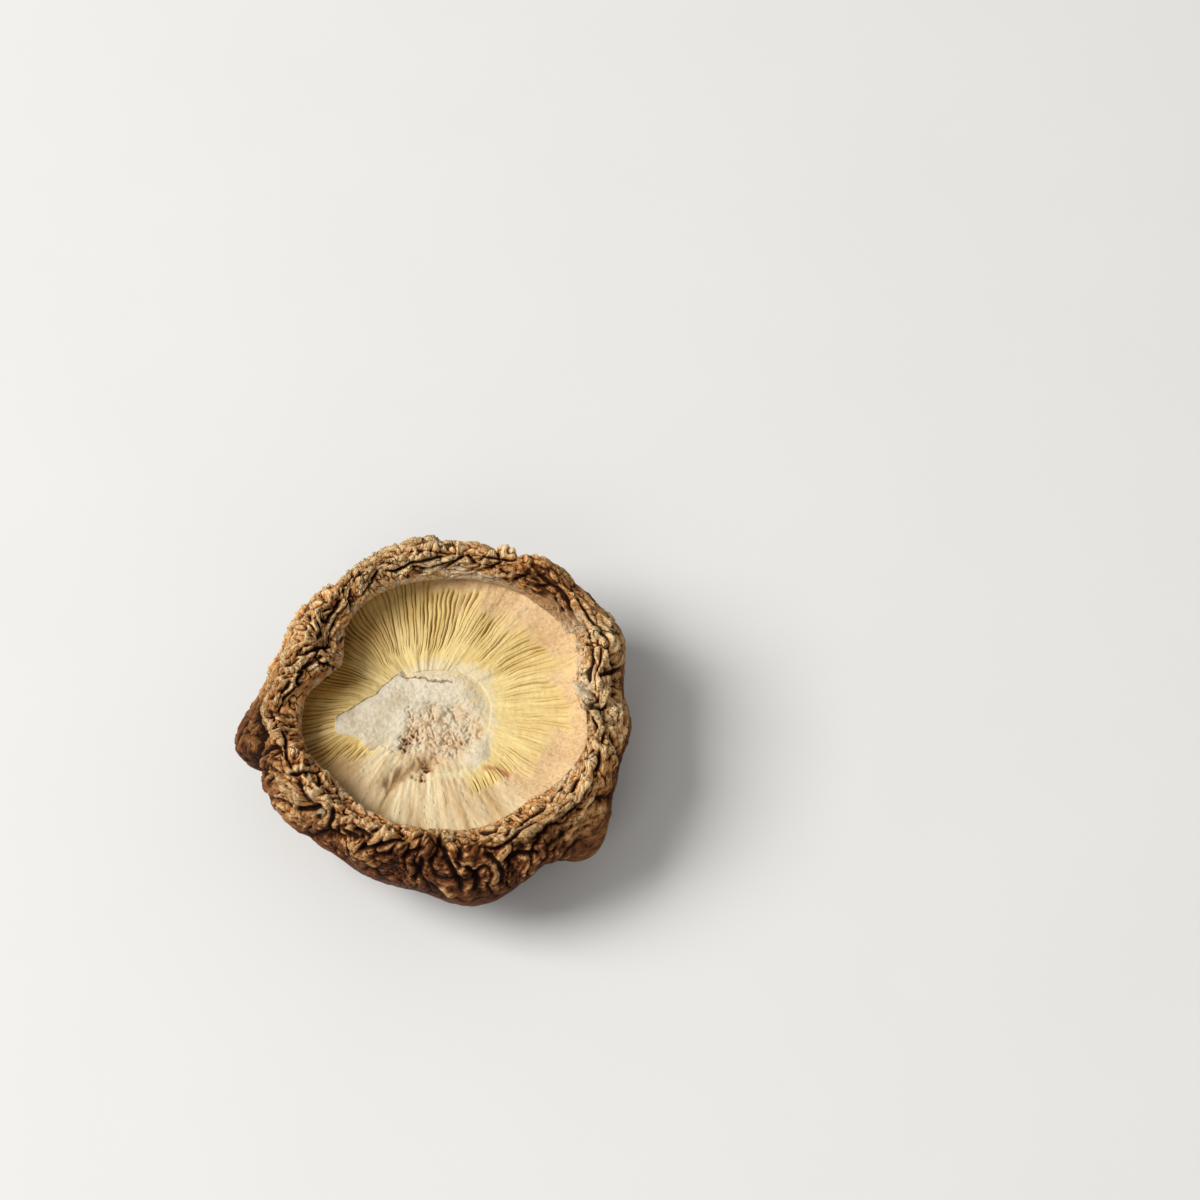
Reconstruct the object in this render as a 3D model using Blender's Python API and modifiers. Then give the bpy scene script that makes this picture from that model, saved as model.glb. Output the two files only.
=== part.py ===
"""Dried shiitake mushroom with its stem trimmed off, lying on the crown of its cap, gills up.

Metres, +Z up. The origin is under the middle of the mushroom, on the surface it lies on.
+X is the mushroom's right and +Y its back, as seen by someone who stands in front of it.

Each of the three pieces starts as a ball or a ring, and every vertex is then moved to its
place on the piece by two numbers: its bearing round the mushroom, and its station, which
counts along the section from one landmark of the shape to the next.
"""
import math

import bpy
from mathutils import Matrix, Vector, noise

MM = 0.001

# Driving dimensions, in millimetres. Radii are evenly spaced round the mushroom, from +X
# towards +Y, and a smooth closed curve runs through them.
CAP_RADII = (25.1, 26.2, 24.9, 22.4, 21.9, 20.7, 20.4, 20.4,
             20.9, 21.6, 22.3, 22.0, 23.0, 25.8, 26.7, 26.3)
MOUTH_RADII = (19.0, 20.0, 19.2, 17.6, 16.2, 15.4, 13.9, 11.3,
               14.6, 15.9, 15.2, 16.3, 17.6, 18.7, 19.2, 20.5)
RIM_TOPS = (16.6, 16.8, 17.2, 17.4, 17.6, 17.8, 18.0, 18.0,
            17.4, 16.6, 16.4, 16.6, 17.2, 16.6, 16.2, 16.4)
EQUATOR = 10.8          # height of the cap's widest place above its crown
FLESH_FLOOR = 7.2       # height of the flesh that the gills and the stem grow from
LIP_DROP = 2.8          # how far the lip lies below the top of the rim
TUCK = 1.3              # how far the rolled margin reaches over the gills
LEAN = math.radians(3.0)  # the cap leans to the front by this much where it lies
REST_FLAT = 0.75        # the crown is pressed flat by this much where it lies
REST_CLEAR = 0.25       # the skin beside the flat place is at least this high

GILLS = 78              # gills that reach the stem, with one short gill between each two
GILL_DEPTH = 0.75       # depth of the gaps between gills
GILL_HEIGHT = 11.9      # height of the gill edges above the crown, on the mushroom's axis
GILL_SLOPE = 0.055      # the gills lie deeper on the left, by this much for each millimetre
STEM_RADII = (9.7, 9.0, 8.2, 7.2, 6.4, 5.8, 5.6, 5.5, 5.5, 5.6, 5.8, 6.4,
              8.4, 11.4, 9.6, 9.1, 8.9, 9.3, 10.6, 11.6, 12.2, 12.2, 10.7, 10.1)
STEM_STANDS = 0.55      # how far the trimmed stem stands above the gills round it
GAP = 0.3               # clearance between neighbouring pieces

# Stations round the gill ring, from its outer edge over the top to the stem and back
# underneath: how far out, as a share of its width, and how far below the gill edges.
GILL_STATIONS = ((1.0, 1.0), (0.93, 0.2), (0.45, 0.0), (0.0, 0.0), (0.0, None), (0.96, None))

# Stations of the stem's section, from the middle of its foot out, up and over its cut face:
# how far out, as a share of its radius, and how high, as a share of its height.
STEM_STATIONS = ((0.0, 0.0), (0.45, 0.0), (0.86, 0.0), (0.97, 0.5), (1.0, 0.9),
                 (0.93, 1.0), (0.7, 1.0), (0.4, 1.0), (0.0, 1.0))

CAP_MESH = (84, 36)     # segments round, rings from crown to flesh floor
STEM_MESH = (48, len(STEM_STATIONS) - 1)

# Stations of the cap's section.
WALL, WIDEST, SHOULDER, LIP, LAST = 3, 5, 6, 9, 12
STATION_LENGTH = 4.2    # millimetres between stations on the outside, on average

# Lumps that drying raised on the cap, and dents it sank:
# (bearing in degrees, station, width in mm, height in mm).
LUMPS = (
    (192, 5.0, 4.0, 3.0),     # knob on the left
    (209, 4.6, 3.0, -2.4),
    (217, 5.8, 4.4, 1.3),     # pillow at the lower left
    (238, 4.4, 6.0, -0.5),
    (284, 4.6, 6.0, 1.6),     # where the front folds meet
    (306, 4.4, 2.8, -3.0),
    (320, 4.6, 4.4, 2.2),     # lobe at the lower right
    (341, 5.4, 3.0, -0.6),
    (354, 5.2, 3.0, 0.9),
    (8, 5.8, 2.6, -0.4),
    (20, 6.0, 4.0, 0.8),
    (36, 6.4, 2.6, -0.5),
    (50, 5.8, 4.0, 0.7),
    (57, 5.4, 3.0, -1.2),
    (69, 6.2, 3.4, 0.6),
    (96, 6.4, 6.0, 0.5),
    (121, 5.6, 4.0, -0.5),
    (147, 5.4, 3.2, 0.4),
    (3, 8.1, 2.0, 1.3),       # fold that reaches over the gills on the right
    (150, 8.4, 2.6, -0.8),
    (161, 5.4, 4.0, -0.5),
    (168, 8.0, 3.2, 0.7),
    (255, 6.4, 3.0, 0.7),
    (268, 7.6, 3.2, 0.8),
)

# Folds pressed into the outside: (depth in mm, width in mm, then (bearing, station) points).
FOLDS = (
    (1.3, 1.1, ((204, 3.4), (206, 4.6), (204, 5.8), (195, 6.8), (188, 8.2))),
    (1.0, 1.0, ((176, 6.4), (183, 6.0), (190, 6.2), (198, 6.6))),
    (1.1, 1.0, ((200, 6.6), (209, 7.2), (219, 7.1), (229, 6.5))),
    (1.0, 0.9, ((229, 3.6), (232, 4.8), (236, 5.8), (247, 6.6), (258, 6.9))),
    (0.9, 0.8, ((238, 7.6), (250, 7.7), (262, 7.2), (272, 6.6))),
    (1.2, 1.0, ((284, 3.2), (281, 4.4), (275, 5.6), (268, 6.5))),
    (1.1, 0.9, ((287, 3.0), (289, 4.4), (287, 5.8), (279, 7.0), (273, 8.0))),
    (1.1, 1.0, ((291, 3.4), (297, 4.8), (299, 6.0), (292, 7.0))),
    (1.0, 0.9, ((299, 6.4), (309, 6.9), (320, 6.9), (331, 6.5))),
    (1.3, 1.2, ((307, 2.8), (308, 4.0), (307, 5.2), (302, 6.0))),
    (1.0, 1.0, ((332, 3.6), (334, 4.8), (330, 5.8), (323, 6.4))),
    (0.9, 0.9, ((342, 5.4), (350, 6.6), (359, 7.4), (7, 8.4))),
    (1.0, 0.8, ((356, 6.2), (3, 6.6), (10, 6.4), (17, 7.0))),
    (0.8, 0.8, ((18, 7.4), (28, 7.6), (40, 7.2), (50, 7.3))),
    (0.9, 0.9, ((55, 5.4), (58, 6.6), (62, 7.6), (66, 8.6))),
    (0.8, 0.8, ((66, 7.0), (80, 7.3), (96, 7.1), (112, 7.4), (126, 7.2))),
    (0.8, 0.8, ((84, 6.0), (98, 6.2), (114, 6.1), (130, 6.4), (142, 6.2))),
    (0.9, 0.8, ((128, 8.0), (142, 7.8), (154, 7.2), (166, 7.0))),
    (0.8, 0.8, ((140, 5.4), (152, 5.8), (164, 5.6), (174, 5.2))),
    (1.0, 1.4, ((30, 2.0), (48, 3.2), (72, 3.6), (96, 3.0))),
    (1.1, 1.5, ((110, 1.2), (124, 2.6), (146, 3.6), (168, 3.4))),
    (1.0, 1.4, ((200, 0.9), (188, 2.2), (206, 3.0), (226, 2.6))),
    (0.9, 1.3, ((330, 1.0), (352, 2.2), (14, 3.2), (22, 4.4))),
)


def clear_scene():
    """The scene starts empty."""
    for thing in list(bpy.data.objects):
        bpy.data.objects.remove(thing)


def round_value(values, bearing):
    """The value at a bearing, on the smooth closed curve through evenly spaced values."""
    place = bearing / math.tau * len(values)
    first = math.floor(place)
    t = place - first
    a, b, c, d = (values[(first + k) % len(values)] for k in (-1, 0, 1, 2))
    return b + 0.5 * t * (c - a + t * (2 * a - 5 * b + 4 * c - d + t * (3 * (b - c) + d - a)))


def along(points, place):
    """The point at a place along a smooth curve, where whole numbers are its own points."""
    first = min(int(place), len(points) - 2)
    t = place - first
    b, c = Vector(points[first]), Vector(points[first + 1])
    a = Vector(points[first - 1]) if first else Vector((-c.x, c.y))
    last = first + 2 == len(points)
    d = Vector((-b.x, b.y)) if last else Vector(points[first + 2])
    return b + 0.5 * t * (c - a + t * (2 * a - 5 * b + 4 * c - d + t * (3 * (b - c) + d - a)))


def smooth_step(low, high, value):
    """0 below low, 1 above high, and a smooth rise between them."""
    t = min(1.0, max(0.0, (value - low) / (high - low)))
    return t * t * (3 - 2 * t)


def cap_section(bearing):
    """Landmarks of the cap's section at a bearing, as (radius, height), one per station."""
    outer = round_value(CAP_RADII, bearing)
    mouth = round_value(MOUTH_RADII, bearing)
    top = round_value(RIM_TOPS, bearing)
    rim = outer - mouth
    return (
        (0.0, 0.0),
        (0.32 * outer, 0.3),
        (0.61 * outer, 1.7),
        (0.83 * outer, 4.4),
        (0.955 * outer, 7.6),
        (outer, EQUATOR),
        (outer - 0.11 * rim, 0.42 * EQUATOR + 0.58 * top),
        (mouth + 0.56 * rim, top),
        (mouth + 0.17 * rim, top - 0.9),
        (mouth, top - LIP_DROP),
        (mouth + TUCK, top - 4.6),
        (mouth + TUCK, FLESH_FLOOR + 0.8),
        (0.0, FLESH_FLOOR),
    )


def distance_to_line(x, y, points):
    """Distance from a place to an open line, and how far along the line it is, 0 to 1."""
    best, where = math.inf, 0.0
    for k, ((ax, ay), (bx, by)) in enumerate(zip(points, points[1:])):
        dx, dy = bx - ax, by - ay
        t = ((x - ax) * dx + (y - ay) * dy) / (dx * dx + dy * dy)
        t = min(1.0, max(0.0, t))
        gap = math.hypot(x - ax - t * dx, y - ay - t * dy)
        if gap < best:
            best, where = gap, (k + t) / (len(points) - 1)
    return best, where


def turn_between(bearing, centre):
    """Degrees from a centre bearing to a bearing, the short way round."""
    return (math.degrees(bearing) - centre + 180) % 360 - 180


def lumps_and_folds(bearing, station, radius):
    """How far drying pushed the cap's surface out, in millimetres."""
    arc = math.radians(1) * radius
    push = 0.0
    for centre, level, width, height in LUMPS:
        x = turn_between(bearing, centre) * arc
        y = (station - level) * STATION_LENGTH
        push += height * math.exp(-(x * x + y * y) / (width * width))
    for depth, width, points in FOLDS:
        start = points[0][0]
        line = [(turn_between(math.radians(b), start) * arc, s * STATION_LENGTH)
                for b, s in points]
        x = turn_between(bearing, start) * arc
        gap, where = distance_to_line(x, station * STATION_LENGTH, line)
        fade = 1 - (2 * where - 1) ** 4
        push -= depth * fade * math.exp(-gap / width)
        push += 0.35 * depth * fade * math.exp(-((gap - 1.8 * width) / width) ** 2)
    return push


def wrinkles(bearing, station):
    """Ropy wrinkles of the rim and broad crumples of the crown, in millimetres."""
    around = Vector((math.cos(bearing), math.sin(bearing), 0))
    slant = 1.6 * noise.noise(around * 2.1 + Vector((0, 0, 0.12 * station)))
    ropes = noise.noise(around * 3.4 + Vector((5, 0, 1.25 * station + slant)))
    crumple = noise.noise(around * (0.55 * min(station, WIDEST)) + Vector((0, 9, 0.1 * station)))
    on_rim = smooth_step(WALL, SHOULDER, station)
    return on_rim * (2.0 * abs(ropes) ** 0.7 - 0.7) + (1 - on_rim) * (2.4 * abs(crumple) - 0.6)


def shape_cap(ball):
    """Moulds a ball into the cap: its south pole is the crown and its north pole the flesh."""
    mesh = ball.data
    places = []
    for vertex in mesh.vertices:
        bearing = math.atan2(vertex.co.y, vertex.co.x)
        station = LAST * (0.5 + math.asin(max(-1, min(1, vertex.co.z))) / math.pi)
        places.append((bearing, station))
        spot = along(cap_section(bearing), station)
        vertex.co = Vector((spot.x * math.cos(bearing), spot.x * math.sin(bearing), spot.y))
    mesh.update()
    normals = [vertex.normal.copy() for vertex in mesh.vertices]
    for vertex, normal, (bearing, station) in zip(mesh.vertices, normals, places):
        radius = max(6.0, math.hypot(vertex.co.x, vertex.co.y))
        outside = 1 - smooth_step(LIP - 0.9, LIP, station)
        push = lumps_and_folds(bearing, station, radius) + wrinkles(bearing, station)
        vertex.co += normal * push * outside * smooth_step(0, 1.5, station)


def gill_plane(x, y):
    """Height of the gill edges at a place: a shallow dish that lies deeper on the left."""
    return GILL_HEIGHT + GILL_SLOPE * x + 0.0025 * (x * x + y * y)


def ring_radii(bearing):
    """Inner and outer radius of the gill ring: from the stem to the cap's rolled margin."""
    inner = round_value(STEM_RADII, bearing)
    mouth = round_value(MOUTH_RADII, bearing)
    lip = round_value(RIM_TOPS, bearing) - LIP_DROP
    edge = gill_plane(mouth * math.cos(bearing), mouth * math.sin(bearing))
    return inner, mouth - 2.4 * GAP + TUCK * smooth_step(0, 2, lip - edge)


def shape_gills(ring):
    """Moulds a ring of eight stations into the gills, which stand as ridges on its top."""
    for vertex in ring.data.vertices:
        bearing = math.atan2(vertex.co.y, vertex.co.x)
        around = math.atan2(vertex.co.z, math.hypot(vertex.co.x, vertex.co.y) - 3)
        column = round(4 * GILLS * bearing / math.tau)
        station = math.floor(len(GILL_STATIONS) * around / math.tau) % len(GILL_STATIONS)
        inner, outer = ring_radii(bearing)
        share, drop = GILL_STATIONS[station]
        radius = inner + share * (outer - inner)
        x, y = radius * math.cos(bearing), radius * math.sin(bearing)
        if drop is None:
            z = FLESH_FLOOR + 2 * GAP + 0.8 * share
        else:
            full = 1.0 if column % 4 == 0 else 0.0
            short = smooth_step(0.15, 0.6, share) if column % 4 == 2 else 0.0
            groove = 0.0 if share == 1.0 else GILL_DEPTH * (1 - full - short)
            z = gill_plane(x, y) - drop - groove
        vertex.co = Vector((x, y, z))


def shape_stem(ball):
    """Moulds a ball into the trimmed stem: a low stub with a torn, slanting cut face."""
    for vertex in ball.data.vertices:
        bearing = math.atan2(vertex.co.y, vertex.co.x)
        level = 0.5 + math.asin(max(-1, min(1, vertex.co.z))) / math.pi
        share, height = STEM_STATIONS[round(level * (len(STEM_STATIONS) - 1))]
        radius = share * (round_value(STEM_RADII, bearing) - 2.4 * GAP)
        x, y = radius * math.cos(bearing), radius * math.sin(bearing)
        torn = noise.noise(Vector((x, y, 0)) * 0.42) * smooth_step(6.5, 2.0, math.hypot(x - 0.6, y + 2))
        face = gill_plane(x, y) + STEM_STANDS + 1.1 * torn
        foot = FLESH_FLOOR + 1.5 * GAP
        vertex.co = Vector((x, y, foot + height * (face - foot)))


def finish(thing, colour, roughness):
    """Gives a piece its material and smooth shading."""
    material = bpy.data.materials.new(thing.name)
    material.use_nodes = True
    shader = material.node_tree.nodes["Principled BSDF"]
    shader.inputs["Base Color"].default_value = (*colour, 1)
    shader.inputs["Roughness"].default_value = roughness
    shader.inputs["Metallic"].default_value = 0
    thing.data.materials.append(material)
    thing.data.shade_smooth()
    thing.data.set_sharp_from_angle(angle=math.radians(50))


def add_ball(name, mesh_size):
    """A ball of unit radius, ready to be moulded."""
    segments, rings = mesh_size
    bpy.ops.mesh.primitive_uv_sphere_add(segments=segments, ring_count=rings, radius=1)
    ball = bpy.context.object
    ball.name = name
    return ball


def add_ring(name):
    """A ring with four columns for each gill that reaches the stem, ready to be moulded."""
    bpy.ops.mesh.primitive_circle_add(vertices=len(GILL_STATIONS), radius=1)
    ring = bpy.context.object
    ring.name = name
    ring.data.transform(Matrix.Translation((3, 0, 0)) @ Matrix.Rotation(math.pi / 2, 4, "X"))
    turn = ring.modifiers.new("turn", "SCREW")
    turn.steps = turn.render_steps = 4 * GILLS
    turn.use_merge_vertices = True
    turn.merge_threshold = 0.0001
    turn.use_normal_calculate = True
    bpy.ops.object.modifier_apply(modifier="turn")
    return ring


def lay_down(pieces):
    """Leans the mushroom, sets it on its crown over the origin, and presses its rest flat."""
    lean = Matrix.Rotation(LEAN, 4, "X")
    for piece in pieces:
        piece.data.transform(lean)
    spots = [vertex.co for piece in pieces for vertex in piece.data.vertices]
    low = Vector([min(spot[k] for spot in spots) for k in range(3)])
    high = Vector([max(spot[k] for spot in spots) for k in range(3)])
    middle = (low + high) / 2
    move = Matrix.Translation((-middle.x, -middle.y, -low.z - REST_FLAT))
    for piece in pieces:
        piece.data.transform(move)
        for vertex in piece.data.vertices:
            pressed = vertex.co.z <= 0
            vertex.co.z = 0.0 if pressed else max(REST_CLEAR, vertex.co.z)
        piece.data.transform(Matrix.Scale(MM, 4))


def build():
    """Makes the mushroom and puts its pieces in one collection."""
    clear_scene()
    cap, stem = add_ball("cap", CAP_MESH), add_ball("stem", STEM_MESH)
    gills = add_ring("gills")
    shape_cap(cap)
    shape_stem(stem)
    shape_gills(gills)
    lay_down((cap, gills, stem))
    finish(cap, (0.20, 0.11, 0.055), 0.85)
    finish(gills, (0.72, 0.53, 0.20), 0.75)
    finish(stem, (0.78, 0.70, 0.54), 0.9)
    mushroom = bpy.data.collections.new("shiitake_mushroom")
    bpy.context.scene.collection.children.link(mushroom)
    for piece in (cap, gills, stem):
        for home in list(piece.users_collection):
            home.objects.unlink(piece)
        mushroom.objects.link(piece)


build()
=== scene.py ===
# %% [markdown]
# # A dried shiitake mushroom, gills up
# This scene turns the plain CAD solids of a dried shiitake into a mushroom that can be looked
# at from close by. The cap has dried into a leathery bowl with a thick, wrinkled, rolled rim.
# Inside it are thin gills in a ring, and in the middle the stem, trimmed flush by a knife.
#
# Every piece starts as a flat sheet of squares. One direction of the sheet becomes the way
# round the mushroom and the other becomes the way along its section. The sheet is rolled up,
# its edges are sewn together, and its vertices are pushed in and out like modelling clay.

# %% Load the CAD frame and measure it
import math

import bpy
import numpy as np
from mathutils import Matrix, Vector, noise


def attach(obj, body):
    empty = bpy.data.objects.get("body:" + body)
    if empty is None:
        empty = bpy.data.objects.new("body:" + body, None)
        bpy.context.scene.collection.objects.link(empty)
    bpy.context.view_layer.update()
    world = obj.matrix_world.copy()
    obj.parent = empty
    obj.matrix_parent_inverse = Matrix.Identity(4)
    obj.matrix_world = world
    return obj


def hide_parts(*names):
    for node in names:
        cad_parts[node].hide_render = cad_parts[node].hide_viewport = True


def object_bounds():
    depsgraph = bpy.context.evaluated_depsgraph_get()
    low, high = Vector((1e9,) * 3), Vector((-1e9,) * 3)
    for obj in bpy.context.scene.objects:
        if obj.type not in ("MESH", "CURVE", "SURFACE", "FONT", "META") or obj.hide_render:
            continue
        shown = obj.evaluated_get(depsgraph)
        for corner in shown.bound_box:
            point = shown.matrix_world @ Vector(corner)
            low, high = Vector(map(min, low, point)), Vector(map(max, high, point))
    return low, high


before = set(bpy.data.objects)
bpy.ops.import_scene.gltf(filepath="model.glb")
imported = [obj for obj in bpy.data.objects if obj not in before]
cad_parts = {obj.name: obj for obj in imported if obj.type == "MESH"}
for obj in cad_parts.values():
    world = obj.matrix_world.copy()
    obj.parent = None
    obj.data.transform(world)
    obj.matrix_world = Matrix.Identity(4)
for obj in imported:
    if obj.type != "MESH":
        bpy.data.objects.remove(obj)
cad_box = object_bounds()
MM = 0.001
print("CAD box in mm:", [[round(c / MM, 2) for c in corner] for corner in cad_box])

# %% [markdown]
# ## The camera
# The photograph looks down on the mushroom at about sixty degrees, from in front. A fairly long
# lens keeps the perspective calm. The mushroom lies at the lower left of the picture, so the
# camera points at a spot on the floor behind it and to its right.

# %% Set up the camera
ELEVATION = math.radians(60)
DISTANCE = 0.356
AIM = Vector((0.02083, 0.01386, 0.0170))


def add_camera(aim, elevation, distance):
    """A camera in front of the mushroom that looks down at the aim."""
    sight = Vector((0, math.cos(elevation), -math.sin(elevation)))
    bpy.ops.object.camera_add(location=aim - sight * distance,
                              rotation=sight.to_track_quat("-Z", "Y").to_euler())
    camera = bpy.context.object
    camera.name = "camera"
    camera.data.lens = 85
    camera.data.sensor_width = 36
    camera.data.clip_start = 0.01
    bpy.context.scene.camera = camera
    return camera


camera = add_camera(AIM, ELEVATION, DISTANCE)
print("camera at", [round(c, 3) for c in camera.location])

# %% [markdown]
# ## The light
# One large soft lamp stands behind the mushroom on the left, so that the rim throws a soft
# shadow to the front right. A pale surrounding light fills the shadows. The standard view
# transform keeps the colours as they are given.

# %% Set up the light and the floor
def add_soft_lamp(name, position, target, size, power):
    """A square lamp that faces a target."""
    aim = (Vector(target) - Vector(position)).to_track_quat("-Z", "Y").to_euler()
    bpy.ops.object.light_add(type="AREA", location=position, rotation=aim)
    lamp = bpy.context.object
    lamp.name = name
    lamp.data.size = size
    lamp.data.energy = power
    return lamp


add_soft_lamp("key_light", (-1.13, 0.04, 1.06), (0, 0, 0), 0.85, 28)
add_soft_lamp("fill_light", (-0.22, -0.62, 0.62), (0, 0, 0), 0.3, 0.8)

world = bpy.data.worlds.new("studio")
world.use_nodes = True
world.node_tree.nodes["Background"].inputs["Color"].default_value = (1, 0.995, 0.985, 1)
world.node_tree.nodes["Background"].inputs["Strength"].default_value = 0.35
bpy.context.scene.world = world
bpy.context.scene.view_settings.view_transform = "Standard"

bpy.ops.mesh.primitive_plane_add(size=6)
floor = bpy.context.object
floor.name = "floor"


# %% [markdown]
# ## A helper for materials
# A material is a small sum: noise plus height, times a colour. The class below wraps a node's
# output, so that such a sum can be written down with plus and times. The nodes are then made
# and linked in the order in which the sum is read.

# %% Wrap shader nodes
class Wire:
    """One output of a shader node, which can be added, multiplied and so on."""

    def __init__(self, sheet, socket):
        self.sheet = sheet
        self.socket = socket

    def node(self, kind, values=(), output=0, **settings):
        """A new node of a kind, with settings on it, and values or wires in its inputs."""
        made = self.sheet.nodes.new(kind)
        for name, value in settings.items():
            setattr(made, name, value)
        for key, value in dict(values).items():
            if isinstance(value, Wire):
                self.sheet.links.new(value.socket, made.inputs[key])
            elif value is not None:
                made.inputs[key].default_value = value
        return Wire(self.sheet, made.outputs[output])

    def sum(self, operation, *others):
        """A sum of two or three numbers."""
        return self.node("ShaderNodeMath", enumerate((self, *others)), operation=operation)

    def __add__(self, other):
        return self.sum("ADD", other)

    def __radd__(self, other):
        return self.sum("ADD", other)

    def __sub__(self, other):
        return self.sum("SUBTRACT", other)

    def __rsub__(self, other):
        return (self * -1).sum("ADD", other)

    def __mul__(self, other):
        return self.sum("MULTIPLY", other)

    def __rmul__(self, other):
        return self.sum("MULTIPLY", other)

    def __pow__(self, other):
        return self.sum("POWER", other)

    def size(self):
        """The number without its sign."""
        return self.sum("ABSOLUTE")

    def rise(self, low, high):
        """0 below low, 1 above high, and a smooth rise between them."""
        return self.node("ShaderNodeMapRange", {"Value": self, "From Min": low, "From Max": high},
                         interpolation_type="SMOOTHSTEP")

    def mix(self, first, second):
        """The first colour where this number is 0 and the second where it is 1."""
        ends = [c if isinstance(c, Wire) else (*c, 1) for c in (first, second)]
        return self.node("ShaderNodeMix", {"Factor": self, 6: ends[0], 7: ends[1]}, output=2,
                         data_type="RGBA")

    def times(self, factor):
        """This vector with each part multiplied by a factor of its own."""
        return self.node("ShaderNodeVectorMath", {0: self, 1: factor}, operation="MULTIPLY")

    def noise(self, scale, detail=3.0, rough=0.55, warp=0.0):
        """Noise at the places that this vector gives, mostly between 0.3 and 0.7."""
        return self.node("ShaderNodeTexNoise", {"Vector": self, "Scale": scale, "Detail": detail,
                                                "Roughness": rough, "Distortion": warp})


def new_material(name, roughness, specular=0.3):
    """A material, its shader node, and a wire to start sums from."""
    material = bpy.data.materials.new(name)
    material.use_nodes = True
    sheet = material.node_tree
    shader = sheet.nodes["Principled BSDF"]
    shader.inputs["Roughness"].default_value = roughness
    shader.inputs["Specular IOR Level"].default_value = specular
    return material, shader, Wire(sheet, None)


def read(wire, name, output=2):
    """A value stored on the vertices: output 2 is a number, and 1 is a vector."""
    return wire.node("ShaderNodeAttribute", output=output, attribute_name=name)


def connect(shader, name, wire):
    """Feeds a wire into an input of the shader."""
    wire.sheet.links.new(wire.socket, shader.inputs[name])


def bump(height, distance, strength=1.0):
    """A bump from a height of 0 to 1, which stands for a distance in metres."""
    return height.node("ShaderNodeBump", {"Height": height, "Distance": distance,
                                          "Strength": strength})


# %% Paint the floor
material, shader, wire = new_material("paper_floor", 0.7, 0.2)
here = wire.node("ShaderNodeTexCoord", output=3)
tone = here.noise(40.0, 2.0).rise(0.2, 0.8).mix((0.735, 0.728, 0.706), (0.745, 0.738, 0.716))
connect(shader, "Base Color", tone)
floor.data.materials.append(material)

# %% [markdown]
# ## The shape of the cap in numbers
# Seen from above, the cap and its mouth are two wobbly rings. Each is given by its radius at
# sixteen evenly spaced bearings, and a smooth curve runs through them. The section is a row of
# landmarks, called stations: 0 is the crown underneath, 5 the widest place, 7 the top of the
# rim, 9 the lip, and 12 the flesh in the middle that the gills hide.

# %% Name the sizes
CAP_RADII = (25.1, 26.2, 24.9, 22.4, 21.9, 20.7, 20.4, 20.4,
             20.9, 21.6, 22.3, 22.0, 23.0, 25.8, 26.7, 26.3)
MOUTH_RADII = (19.0, 20.0, 19.2, 17.6, 16.2, 15.4, 13.9, 11.3,
               14.6, 15.9, 15.2, 16.3, 17.6, 18.7, 19.2, 20.5)
RIM_TOPS = (16.6, 16.8, 17.2, 17.4, 17.6, 17.8, 18.0, 18.0,
            17.4, 16.6, 16.4, 16.6, 17.2, 16.6, 16.2, 16.4)
STEM_RADII = (9.7, 9.0, 8.2, 7.2, 6.4, 5.8, 5.6, 5.5, 5.5, 5.6, 5.8, 6.4,
              8.4, 11.4, 9.6, 9.1, 8.9, 9.3, 10.6, 11.6, 12.2, 12.2, 10.7, 10.1)
EQUATOR = 10.8
FLESH_FLOOR = 7.2
LIP_DROP = 2.8
TUCK = 1.3
LEAN = math.radians(3.0)
REST_FLAT = 0.75
PLACE = (-1.058, 2.454, -0.288)
GILL_HEIGHT = 11.9
GILL_SLOPE = 0.055
STATION_LENGTH = 4.2
CROWN, WALL, WIDEST, SHOULDER, CREST, LIP, LAST = 0, 3, 5, 6, 7, 9, 12

LUMPS = (
    (192, 5.0, 4.0, 3.0),
    (209, 4.6, 3.0, -2.4),
    (217, 5.8, 4.4, 1.3),
    (238, 4.4, 6.0, -0.5),
    (284, 4.6, 6.0, 1.6),
    (306, 4.4, 2.8, -3.0),
    (320, 4.6, 4.4, 2.2),
    (341, 5.4, 3.0, -0.6),
    (354, 5.2, 3.0, 0.9),
    (8, 5.8, 2.6, -0.4),
    (20, 6.0, 4.0, 0.8),
    (36, 6.4, 2.6, -0.5),
    (50, 5.8, 4.0, 0.7),
    (57, 5.4, 3.0, -1.2),
    (69, 6.2, 3.4, 0.6),
    (96, 6.4, 6.0, 0.5),
    (121, 5.6, 4.0, -0.5),
    (147, 5.4, 3.2, 0.4),
    (3, 8.1, 2.0, 1.3),
    (150, 8.4, 2.6, -0.8),
    (161, 5.4, 4.0, -0.5),
    (168, 8.0, 3.2, 0.7),
    (255, 6.4, 3.0, 0.7),
    (268, 7.6, 3.2, 0.2),
    (286, 8.0, 2.8, -1.5),
    (254, 4.6, 6.0, 1.0),
)

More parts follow.
